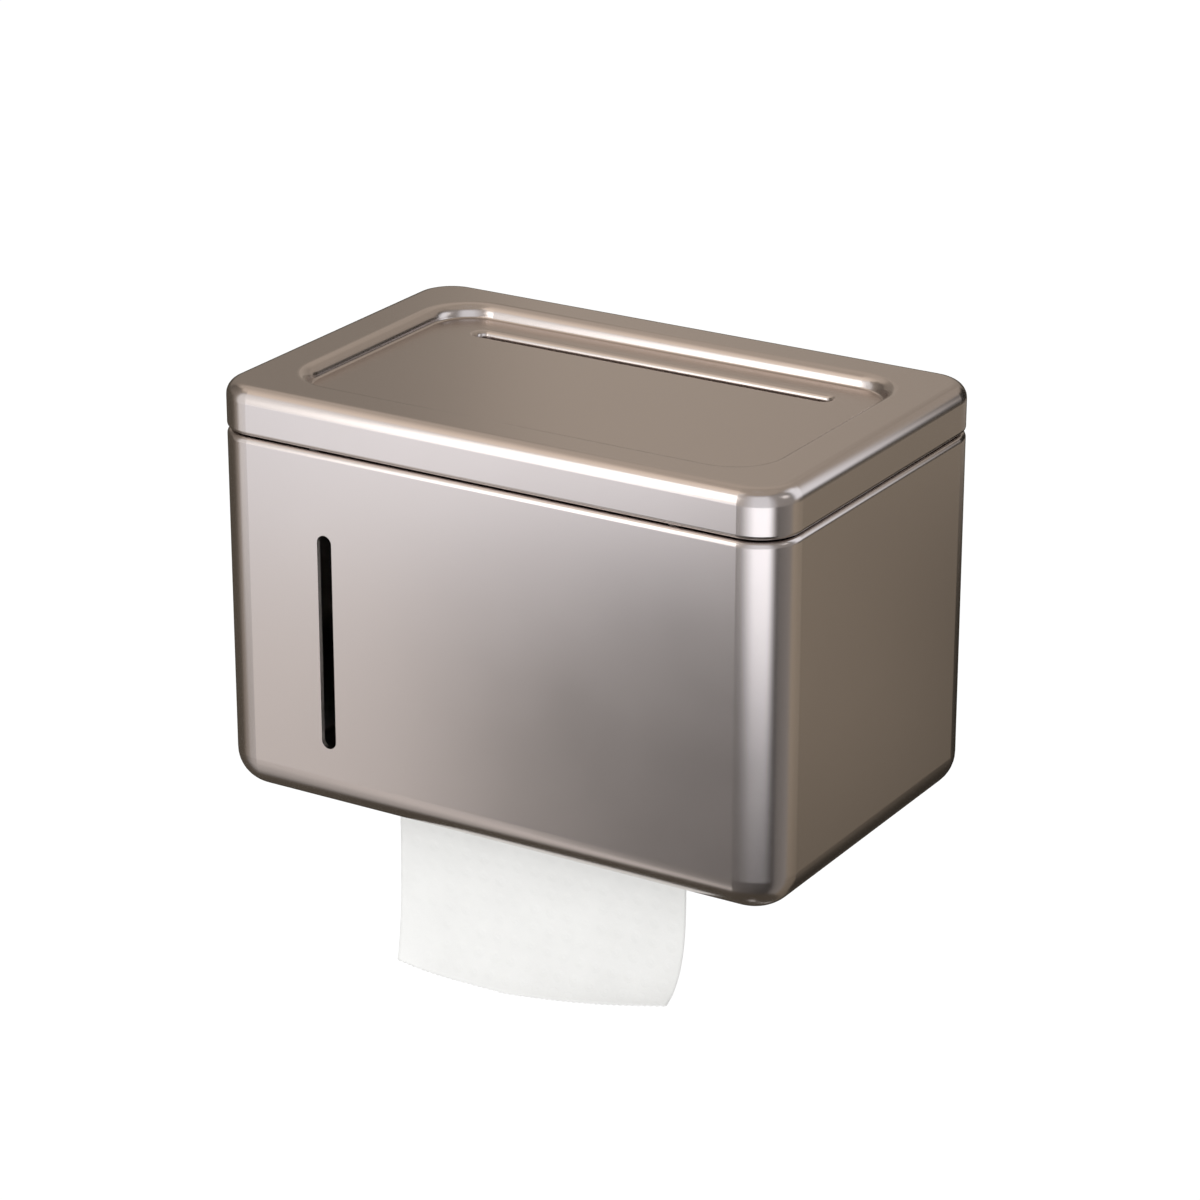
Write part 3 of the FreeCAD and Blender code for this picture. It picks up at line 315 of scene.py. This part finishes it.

# %% [markdown]
# ## Helpers for new pieces
#
# A new piece is a bmesh that becomes an object. It rides on the body that the construction
# names, so that it moves with it, and it hides the plain solid that it stands for. It wears
# the finish that it is given.

# %% From bmesh to a piece
def to_piece(mesh, name, finish, body, replaced):
    """Turn a bmesh into an object that rides on a body and stands for one node of the frame."""
    data = bpy.data.meshes.new(name)
    mesh.to_mesh(data)
    mesh.free()
    data.materials.append(finish.material)
    piece = bpy.data.objects.new(name, data)
    scene.collection.objects.link(piece)
    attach(piece, body)
    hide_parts(replaced)
    print(f"{name}: {len(data.polygons)} faces")
    return piece


# %% [markdown]
# ## The wound roll
#
# A roll looks like paper and not like a drum because of its ends: some two hundred turns lie
# against each other, never quite flush. Drawing every turn would waste faces, so we group them
# into rings of about a millimetre, each pushed in by a few tenths, and spin that stepped
# outline once round. The outside gets a slow unevenness from winding, and a UV map in metres
# for the dimples.

# %% Sizes of the roll, read from the frame
roll_low, roll_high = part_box("roll_paper")
core_low, core_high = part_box("roll_core")
ROLL_AXIS = (roll_low + roll_high) / 2
ROLL_RADIUS = (roll_high.z - roll_low.z) / 2
CORE_RADIUS = (core_high.z - core_low.z) / 2
HALF_ROLL = (roll_high.x - roll_low.x) / 2
print(f"roll: radius {ROLL_RADIUS / MM:.1f} mm, width {2 * HALF_ROLL / MM:.1f} mm")

# %% One outline, spun round the roll's axis
WELD = 0.001 * MM


def turned(outline, steps):
    """A bmesh of a closed outline of (x, radius) pairs, spun once round the roll's axis."""
    mesh = bmesh.new()
    corners = [
        mesh.verts.new((x, ROLL_AXIS.y, ROLL_AXIS.z + radius))
        for x, radius in outline
    ]
    for first, second in zip(corners, corners[1:] + corners[:1]):
        mesh.edges.new((first, second))
    bmesh.ops.spin(
        mesh,
        geom=mesh.verts[:] + mesh.edges[:],
        cent=ROLL_AXIS,
        axis=(1, 0, 0),
        angle=2 * math.pi,
        steps=steps,
        use_merge=True,
    )
    bmesh.ops.remove_doubles(mesh, verts=mesh.verts, dist=WELD)
    bmesh.ops.recalc_face_normals(mesh, faces=mesh.faces)
    return mesh


def outward(corner):
    """The way from the roll's axis to a vertex, square to the axis."""
    return Vector((0, corner.co.y - ROLL_AXIS.y, corner.co.z - ROLL_AXIS.z))


# %% Rings at the ends of the roll
RING_WIDTH = 1.1 * MM
RING_STEP = 0.4 * MM
RING_GAP = 0.06
RING_JUMP = 0.7
SIDE_JUMP = 3.1
noise.seed_set(7)


def ring_outline(side):
    """One end of the roll from the core outwards, in rings that are not quite flush."""
    count = round((ROLL_RADIUS - CORE_RADIUS) / RING_WIDTH)
    width = (ROLL_RADIUS - CORE_RADIUS) / count
    points = []
    for ring in range(count):
        chance = noise.noise(Vector((ring * RING_JUMP, side * SIDE_JUMP, 0.0)))
        push = RING_STEP * (0.5 + 0.5 * chance)
        if ring == count - 1:
            push = RING_STEP
        x = side * (HALF_ROLL - push)
        inner = CORE_RADIUS + ring * width
        points += [(x, inner + RING_GAP * width), (x, inner + (1 - RING_GAP) * width)]
    return points


left_rings = ring_outline(-1)
right_rings = ring_outline(1)
print("rings drawn at each end:", len(left_rings) // 2)

# %% Wound paper
ROLL_STEPS = 144
ROLL_BANDS = 20
WAVE_DEPTH = 0.3 * MM
WAVES_ALONG = 25
WAVES_ROUND = 45
BORE_SLACK = 0.02 * MM
END_FACING = 0.5
SEAM_SLACK = 1e-9


def roll_outline():
    """The left end, the outside, the right end and the bore, as one closed line."""
    bands = [(band + 0.5) / ROLL_BANDS for band in range(ROLL_BANDS)]
    outside = [(HALF_ROLL * (2 * band - 1), ROLL_RADIUS - WAVE_DEPTH) for band in bands]
    bore = [(rings[0][0], CORE_RADIUS + BORE_SLACK) for rings in (right_rings, left_rings)]
    return left_rings + outside + right_rings[::-1] + bore


def wound_paper():
    """The roll of paper, with a slightly wavy outside and a UV map in metres."""
    mesh = turned(roll_outline(), ROLL_STEPS)
    for corner in mesh.verts:
        arm = outward(corner)
        if arm.length > ROLL_RADIUS - 2 * WAVE_DEPTH:
            place = corner.co
            waves = (place.x * WAVES_ALONG, place.y * WAVES_ROUND, place.z * WAVES_ROUND)
            corner.co += arm.normalized() * (WAVE_DEPTH * noise.noise(Vector(waves)))
    sheet_uv = mesh.loops.layers.uv.new("sheet")
    for face in mesh.faces:
        at_the_end = abs(face.normal.x) > END_FACING
        face.smooth = not at_the_end
        behind_seam = face.calc_center_median().y < ROLL_AXIS.y
        for loop in face.loops:
            arm = loop.vert.co - ROLL_AXIS
            angle = math.atan2(arm.z, arm.y)
            if angle < 0 and behind_seam and arm.z >= -SEAM_SLACK:
                angle += 2 * math.pi
            loop[sheet_uv].uv = (arm.y, arm.z) if at_the_end else (arm.x, angle * ROLL_RADIUS)
    to_piece(mesh, "wound_paper", tissue, "roll", "roll_paper")


wound_paper()

# %% [markdown]
# ## The card core
#
# The core is a tube wound from card strip. Its seam runs round like a barber's pole, a step as
# thick as one ply. We spin a closed outline of the wall into a tube, then lower the inner and
# outer skin along a helix. The ends are cut, so their edges are slightly crushed: a small bevel
# does that.

# %% Card core
CORE_WALL = 1.0 * MM
CORE_STEPS = 96
CORE_BANDS = 60
SEAM_PITCH = 95 * MM
SEAM_WIDTH = 2.2 * MM
SEAM_DEPTH = 0.12 * MM
CRUSH = 0.2 * MM


def seam_depth(corner):
    """How far the skin is lowered here: most along the helix, nothing away from it."""
    arm = corner - ROLL_AXIS
    turn = math.atan2(arm.z, arm.y) / (2 * math.pi)
    along = (arm.x / SEAM_PITCH - turn) % 1.0
    gap = min(along, 1 - along) * SEAM_PITCH
    return SEAM_DEPTH * max(0.0, 1 - gap / SEAM_WIDTH)


def card_core():
    """The card tube, with its helical seam and crushed ends."""
    inner = CORE_RADIUS - CORE_WALL
    outer = CORE_RADIUS
    along = [HALF_ROLL * (2 * band / CORE_BANDS - 1) for band in range(CORE_BANDS + 1)]
    along[0] += CRUSH
    along[-1] -= CRUSH
    outline = [(x, outer) for x in along]
    outline += [(HALF_ROLL, outer - CRUSH), (HALF_ROLL, inner + CRUSH)]
    outline += [(x, inner) for x in reversed(along)]
    outline += [(-HALF_ROLL, inner + CRUSH), (-HALF_ROLL, outer - CRUSH)]
    mesh = turned(outline, CORE_STEPS)
    for corner in mesh.verts:
        arm = outward(corner)
        skin = 1 if arm.length < (inner + outer) / 2 else -1
        corner.co += arm.normalized() * (skin * seam_depth(corner.co))
    for face in mesh.faces:
        face.smooth = True
    to_piece(mesh, "card_core", card, "roll", "roll_core")


card_core()

# %% [markdown]
# ## The spring in the spindle
#
# The construction's spring has its length at rest. A real one gets shorter when the spindle's
# sliding half is pushed in; here it is drawn again at its length at rest, as one coiled wire.
# A spin that also moves along its axis at every step sweeps a small circle into the coiled
# wire.

# %% Coiled wire
spring_low, spring_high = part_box("spindle_spring")
SPRING_WIRE = 1.0 * MM
SPRING_TURNS = 16
STEPS_PER_TURN = 24
WIRE_SIDES = 8


def coiled_spring():
    """The spring as one coiled wire, at its length at rest."""
    mesh = bmesh.new()
    middle = (spring_low + spring_high) / 2
    radius = (spring_high.z - spring_low.z - SPRING_WIRE) / 2
    pitch = (spring_high.x - spring_low.x - SPRING_WIRE) / SPRING_TURNS
    start = Vector((spring_low.x + SPRING_WIRE / 2, middle.y, middle.z + radius))
    bmesh.ops.create_circle(
        mesh,
        segments=WIRE_SIDES,
        radius=SPRING_WIRE / 2,
        matrix=Matrix.Translation(start) @ Matrix.Rotation(math.pi / 2, 4, "X"),
    )
    bmesh.ops.spin(
        mesh,
        geom=mesh.verts[:] + mesh.edges[:],
        cent=middle,
        axis=(1, 0, 0),
        dvec=(pitch / STEPS_PER_TURN, 0, 0),
        angle=2 * math.pi * SPRING_TURNS,
        steps=SPRING_TURNS * STEPS_PER_TURN,
    )
    open_ends = [edge for edge in mesh.edges if edge.is_boundary]
    bmesh.ops.holes_fill(mesh, edges=open_ends, sides=WIRE_SIDES)
    bmesh.ops.recalc_face_normals(mesh, faces=mesh.faces)
    for face in mesh.faces:
        face.smooth = len(face.verts) == 4
    piece = to_piece(mesh, "coiled_spring", wire, "housing", "spindle_spring")
    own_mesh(piece)


coiled_spring()

# %% [markdown]
# ## The hanging end of the paper
#
# The free end leaves the roll at a tangent, bends down through the slot and hangs. A sheet can
# bend but not stretch, so we lay a flat grid along a path of real length: a straight run, a
# bend, and the drop. Below the box nothing guides it, so each strip of the sheet leans forward
# more and more towards its end, and we walk down it in small steps of equal length, which keeps
# the paper's size. The lower edge was torn by hand: it runs up towards the right corner, which
# also leans the most, and it has the small teeth of the perforation.

# %% Path of the hanging paper
slot_low, slot_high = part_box("paper_slot_guide")
tail_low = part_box("paper_tail")[0]
shell_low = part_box("body_shell")[0]
SLOT_Y = (slot_low.y + slot_high.y) / 2
TAIL_GAP = 0.5 * MM
TAIL_BEND = 30 * MM
SHEET_STEEL = 1.5 * MM
bend_centre = Vector((0, SLOT_Y - TAIL_BEND, shell_low.z + SHEET_STEEL))
drum = ROLL_RADIUS + TAIL_GAP
drum_centre = Vector((0, ROLL_AXIS.y, ROLL_AXIS.z))
across_gap = bend_centre - drum_centre
gap_slope = math.atan2(across_gap.z, across_gap.y)
HEADING = gap_slope + math.asin((TAIL_BEND + drum) / across_gap.length)
side_way = Vector((0, -math.sin(HEADING), math.cos(HEADING)))
LEAVE = drum_centre - side_way * drum
ARRIVE = bend_centre + side_way * TAIL_BEND
RUN = (ARRIVE - LEAVE).length
TURN = HEADING + math.pi / 2
DROP = bend_centre.z - tail_low.z
TAIL_LENGTH = RUN + TAIL_BEND * TURN + DROP
print(f"hanging paper: {TAIL_LENGTH / MM:.1f} mm along its path")


def on_path(length):
    """Point of the paper's middle line at a length from where it leaves the roll."""
    if length < RUN:
        return LEAVE.lerp(ARRIVE, length / RUN)
    bent = min((length - RUN) / TAIL_BEND, TURN)
    heading = HEADING - bent
    spoke = Vector((0, -math.sin(heading), math.cos(heading)))
    hang = max(0.0, length - RUN - TAIL_BEND * TURN)
    return bend_centre + spoke * TAIL_BEND - Vector((0, 0, hang))


# %% The sheet
TAIL_COLUMNS = 100
TAIL_ROWS = 96
TAIL_THICKNESS = 0.25 * MM
TORN_RISE = 10 * MM
TORN_START = 0.42
TORN_CURVE = 1.25
TOOTH = 0.3 * MM
LEAN_LEFT = math.radians(12)
LEAN_RIGHT = math.radians(72)
LEAN_CURVE = 4
RIPPLE = 0.7 * MM
RIPPLE_START = 0.8
RIPPLE_RATE = 9.0
WALK_STEPS = 24


def torn_length(share):
    """Length of the sheet at a share of its width: shorter where the tear ran up."""
    torn = max(0.0, (share - TORN_START) / (1 - TORN_START))
    tooth = TOOTH * (0.5 + 0.5 * math.cos(math.pi * TAIL_COLUMNS * share))
    return TAIL_LENGTH - TORN_RISE * torn**TORN_CURVE - tooth


def lean(share, part):
    """Angle from plumb, at a share of the width and a part of the way down from the box."""
    most = LEAN_LEFT + (LEAN_RIGHT - LEAN_LEFT) * (1 - (1 - share) ** 2)
    return most * part**LEAN_CURVE


def hanging_point(share, along):
    """Place on the sheet at a share of its width and a length from where it leaves the roll."""
    plumb = RUN + TAIL_BEND * TURN
    point = on_path(min(along, plumb))
    hang = max(0.0, along - plumb)
    whole = torn_length(share) - plumb
    forward = down = 0.0
    for step in range(WALK_STEPS):
        angle = lean(share, hang / whole * (step + 0.5) / WALK_STEPS)
        forward += hang / WALK_STEPS * math.sin(angle)
        down += hang / WALK_STEPS * math.cos(angle)
    ripple = RIPPLE * math.sin(RIPPLE_RATE * share + RIPPLE_START) * (hang / whole) ** 2
    return point + Vector(((share - 0.5) * 2 * HALF_ROLL, -forward - ripple, -down))


def hanging_paper():
    """The loose end of the paper, from the roll down to its torn edge."""
    mesh = bmesh.new()
    sheet_uv = mesh.loops.layers.uv.new("sheet")
    bmesh.ops.create_grid(mesh, x_segments=TAIL_COLUMNS, y_segments=TAIL_ROWS, size=0.5)
    for face in mesh.faces:
        face.smooth = True
        for loop in face.loops:
            share = loop.vert.co.x + 0.5
            down = torn_length(share) * (0.5 - loop.vert.co.y)
            loop[sheet_uv].uv = (share * 2 * HALF_ROLL, down)
    for corner in mesh.verts:
        share = corner.co.x + 0.5
        corner.co = hanging_point(share, torn_length(share) * (0.5 - corner.co.y))
    bmesh.ops.recalc_face_normals(mesh, faces=mesh.faces)
    piece = to_piece(mesh, "hanging_paper", tissue, "housing", "paper_tail")
    wall = piece.modifiers.new("ply", "SOLIDIFY")
    wall.thickness = TAIL_THICKNESS
    wall.offset = 0


hanging_paper()

# %% [markdown]
# ## The studio
#
# White background and bare metal pull in opposite directions: a metal box in an all-white room
# is a white box. A product photographer hangs grey panels round it, which only the metal sees,
# and leaves a gap where the white room should show; soft boxes draw the bright lines along its
# edges. We do the same. The world is plain white at a strength of 1. The floor glows white only
# for the camera and for reflections, and stays a plain pale floor for all other light, so it
# keeps the object's shadow.

# %% Floor and world
FLOOR_DROP = 1.1
FLOOR_SIZE = 14.0
FLOOR_GLOW = 0.9
GLOW_STRENGTH = 1.06
WORLD_STRENGTH = 1.0
WHITE = (1, 1, 1, 1)

world = bpy.data.worlds.new("studio_white")
scene.world = world
world.use_nodes = True
sky = world.node_tree.nodes["Background"]
sky.inputs["Color"].default_value = WHITE
sky.inputs["Strength"].default_value = WORLD_STRENGTH


def seen_directly(tree):
    """1 for rays from the camera and for mirrored or refracted ones, 0 for diffuse light."""
    path = tree.nodes.new("ShaderNodeLightPath")
    value = path.outputs["Is Camera Ray"]
    for name in ("Is Glossy Ray", "Is Transmission Ray"):
        either = tree.nodes.new("ShaderNodeMath")
        either.operation = "MAXIMUM"
        tree.links.new(value, either.inputs[0])
        tree.links.new(path.outputs[name], either.inputs[1])
        value = either.outputs["Value"]
    return value


def studio_object(mesh, name, finish):
    """A piece of the studio, which is no part of the object."""
    data = bpy.data.meshes.new(name)
    mesh.to_mesh(data)
    mesh.free()
    data.materials.append(finish.material)
    made = bpy.data.objects.new(name, data)
    scene.collection.objects.link(made)
    print("hung in the studio:", name)
    return made


def glowing(paint, colour):
    """An emission shader of one colour inside a finish."""
    glow = paint.node("Emission")
    glow.inputs["Color"].default_value = colour
    return glow


def show_mixed(paint, share, first, second):
    """Show one shader of a finish where the share is 0, and another where it is 1."""
    mix = paint.node("MixShader")
    paint.join(share, mix.inputs["Fac"])
    paint.join(first, mix.inputs[1])
    paint.join(second, mix.inputs[2])
    paint.join(mix.outputs["Shader"], paint.tree.nodes["Material Output"].inputs["Surface"])


pale = Finish("pale_floor", (232, 232, 232), roughness=0.9)
glow = glowing(pale, WHITE)
glow.inputs["Strength"].default_value = GLOW_STRENGTH
shown = pale.node("Math", operation="MULTIPLY")
shown.inputs[1].default_value = FLOOR_GLOW
pale.join(seen_directly(pale.tree), shown.inputs[0])
show_mixed(pale, shown.outputs["Value"], pale.surface.outputs["BSDF"], glow.outputs["Emission"])
floor_mesh = bmesh.new()
bmesh.ops.create_grid(floor_mesh, x_segments=1, y_segments=1, size=FLOOR_SIZE / 2)
bmesh.ops.translate(floor_mesh, verts=floor_mesh.verts, vec=(0, 0, -FLOOR_DROP))
studio_object(floor_mesh, "studio_floor", pale)

# %% [markdown]
# ## Panels and soft boxes
#
# A mirror hardly cares how far away a thing is, only in which direction it lies. So every panel
# and lamp is placed by two angles as seen from the box: its turn, from straight in front
# towards the right, and its rise above the horizon. A panel is a bent rectangle of a sphere
# between two turns and two rises. Its brightness can fade from one side to the other, and each
# of its four rims fades out over a few degrees, because a satin surface would show a hard rim
# as a smudge. A panel hides the ones behind it and never adds to them, so where two overlap,
# their radii say which one is seen.

# %% A panel that only reflections see
AIM = Vector((0, -0.061, 0.011))
PANEL_STEPS = 24
PANEL_RIMS = (4, 4, 4, 4)


def panel(name, turns, rises, start, end, tint, radius=1.0, rims=PANEL_RIMS):
    """A bent panel between two turns and two rises in degrees.

    Its brightness goes from start, at its first turn, to end, at its last. The rims are the
    widths over which it fades out at its first turn, last turn, lower rise and upper rise.
    """
    mesh = bmesh.new()
    uv = mesh.loops.layers.uv.new("panel")
    bmesh.ops.create_grid(mesh, x_segments=PANEL_STEPS, y_segments=PANEL_STEPS, size=0.5)
    for face in mesh.faces:
        for loop in face.loops:
            loop[uv].uv = (loop.vert.co.x + 0.5, loop.vert.co.y + 0.5)
    for corner in mesh.verts:
        turn = turns[0] + (turns[1] - turns[0]) * (corner.co.x + 0.5)
        rise = rises[0] + (rises[1] - rises[0]) * (corner.co.y + 0.5)
        corner.co = AIM + away(math.radians(turn), math.radians(rise)) * radius
    paint = Finish(name, tint, roughness=1.0)
    glow = glowing(paint, (*light(*tint), 1))
    axes = paint.node("SeparateXYZ")
    paint.join(paint.coordinates(source="UV"), axes.inputs["Vector"])
    fading = paint.spread(axes.outputs["X"], start, end, start=0, end=1)
    paint.join(fading, glow.inputs["Strength"])
    cover = None
    for axis, span, (first, last) in (("X", turns, rims[:2]), ("Y", rises, rims[2:])):
        width = span[1] - span[0]
        for low, high in ((0, first / width), (1, 1 - last / width)):
            fade = paint.spread(axes.outputs[axis], 0, 1, start=low, end=high)
            if cover is not None:
                both = paint.node("Math", operation="MULTIPLY")
                paint.join(cover, both.inputs[0])
                paint.join(fade, both.inputs[1])
                fade = both.outputs["Value"]
            cover = fade
    clear = paint.node("BsdfTransparent")
    show_mixed(paint, cover, clear.outputs["BSDF"], glow.outputs["Emission"])
    paint.material.cycles.emission_sampling = "NONE"
    made = studio_object(mesh, name, paint)
    made.visible_camera = False
    made.visible_diffuse = False
    made.visible_transmission = False
    made.visible_shadow = False


# %% [markdown]
# ## Where the panels hang
#
# The photograph was taken from the right and from above, so each face of the box looks into its
# own part of the room: the lid's top up behind on the left, the front low on the left, the
# right side low behind on the right. The curved edges sweep over all that lies between, so they
# need panels of their own: dark ones give an edge its shade, bright ones its line of light. Two
# panels hang close to the box. A close panel stands in another direction for each end of the
# box, so it can change one stretch of an edge and leave its like at the other end alone.

# %% The panels
WARM = (255, 241, 225)
BROWN = (255, 239, 216)
NEUTRAL = (255, 250, 246)
COOL = (244, 248, 255)
CORNER_RIMS = (38, 15)

# Each has its name, turns, rises, brightness at the first and last turn, and tint.
# A dim tent behind all the others, with a gap at the front left where the white room shows
panel("tent", (-24, 300), (-89, 89), 0.34, 0.34, WARM, radius=1.3)
# High on the left: the lid's top, its tray and its rounded rims
panel("back_left_panel", (-182, -142), (-3, 64), 0.33, 0.53, WARM)
panel("far_left_panel", (-147, -104), (-3, 64), 0.31, 0.29, WARM)
panel("high_left_panel", (-184, -96), (34, 68), 0.50, 0.66, WARM, radius=0.98)
panel("overhead_left_panel", (-112, -28), (42, 68), 0.60, 1.30, WARM, radius=0.96)
panel("left_panel", (-110, -58), (-30, 56), 0.12, 0.36, WARM)
# Low in front: the front, from its bright left to its darker right, and the curves below it
panel("low_back_panel", (-182, -72), (-58, 11), 0.05, 0.12, BROWN, radius=0.99)
panel("low_left_panel", (-76, -44), (-58, -16), 0.10, 0.74, NEUTRAL, radius=1.02)
panel("low_strip_panel", (-51, -30.8), (-58, -16), 0.30, 1.30, NEUTRAL, radius=1.01)
panel("low_front_panel", (-34.5, 76), (-60, -13), 0.16, 0.05, NEUTRAL)
panel("low_right_panel", (66, 110), (-60, -6), 0.15, 0.32, NEUTRAL)
# Low behind on the right: the right side and the edges beside it
panel("side_panel", (102, 156), (-27, -8), 0.47, 0.28, BROWN)
panel("far_side_panel", (148, 186), (-50, -15), 0.05, 0.02, BROWN, radius=0.99)
panel("horizon_panel", (126, 182), (-12, 7), 0.08, 0.08, BROWN, radius=0.98)
panel("low_side_panel", (102, 186), (-62, -15), 0.28, 0.12, BROWN, radius=1.02)
# High behind on the right: the tray's walls and the far edges, with the two close panels
panel("dark_back_panel", (104, 140), (4, 50), 0.06, 0.10, BROWN)
panel("back_panel", (138, 184), (4, 64), 0.44, 0.44, WARM, radius=1.01)
panel("near_panel", (98, 138.5), (4, 58), 1.34, 1.34, COOL, radius=0.34, rims=(10, 10, 10, 10))
panel("near_dark_panel", (140, 172), (-6, 25), 0.02, 0.02, BROWN, radius=0.45)
# In front: the lid's front edge and the upright corner between the front and the right side
panel(
    "lid_front_panel", (-48, -18), (-17.4, -5), 0.86, 2.20, COOL,
    radius=0.98, rims=(4, 4, 0.6, 2),
)
panel(
    "corner_panel", (-18, 67), (-19.5, -9), 2.65, 2.65, COOL,
    radius=0.97, rims=(*CORNER_RIMS, 0.6, 4),
)
panel(
    "corner_top_panel", (-18, 67), (-14, 60), 1.10, 1.10, COOL,
    radius=0.975, rims=(*CORNER_RIMS, 4, 8),
)
panel("front_panel", (-24, 44), (-8, 64), 0.42, 0.38, WARM)
panel("right_panel", (38, 110), (-12, 60), 0.38, 0.34, NEUTRAL)
# Straight above and below
panel("top_panel", (-180, 180), (60, 89), 0.48, 0.48, WARM, radius=1.05)
panel("under_panel", (-180, 180), (-89, -52), 0.09, 0.09, BROWN, radius=1.05)

# %% Lamps
BOX_DISTANCE = 0.95


def soft_box(name, turn, rise, width, height, brightness):
    """An area lamp of a given brightness as a mirror shows it; 1 is the white of the room."""
    lamp = bpy.data.lights.new(name, "AREA")
    lamp.shape = "RECTANGLE"
    lamp.size = 2 * BOX_DISTANCE * math.tan(math.radians(width) / 2)
    lamp.size_y = 2 * BOX_DISTANCE * math.tan(math.radians(height) / 2)
    lamp.energy = brightness * math.pi * lamp.size * lamp.size_y
    made = bpy.data.objects.new(name, lamp)
    heading = away(math.radians(turn), math.radians(rise))
    made.location = AIM + heading * BOX_DISTANCE
    made.rotation_euler = heading.to_track_quat("Z", "Y").to_euler()
    scene.collection.objects.link(made)
    print(f"{name}: {lamp.size:.3f} m by {lamp.size_y:.3f} m, {lamp.energy:.2f} W")


soft_box("tall_left_box", turn=-25.5, rise=17.1, width=16, height=51.2, brightness=1.8)
soft_box("right_box", turn=95, rise=34, width=12, height=14, brightness=1.0)
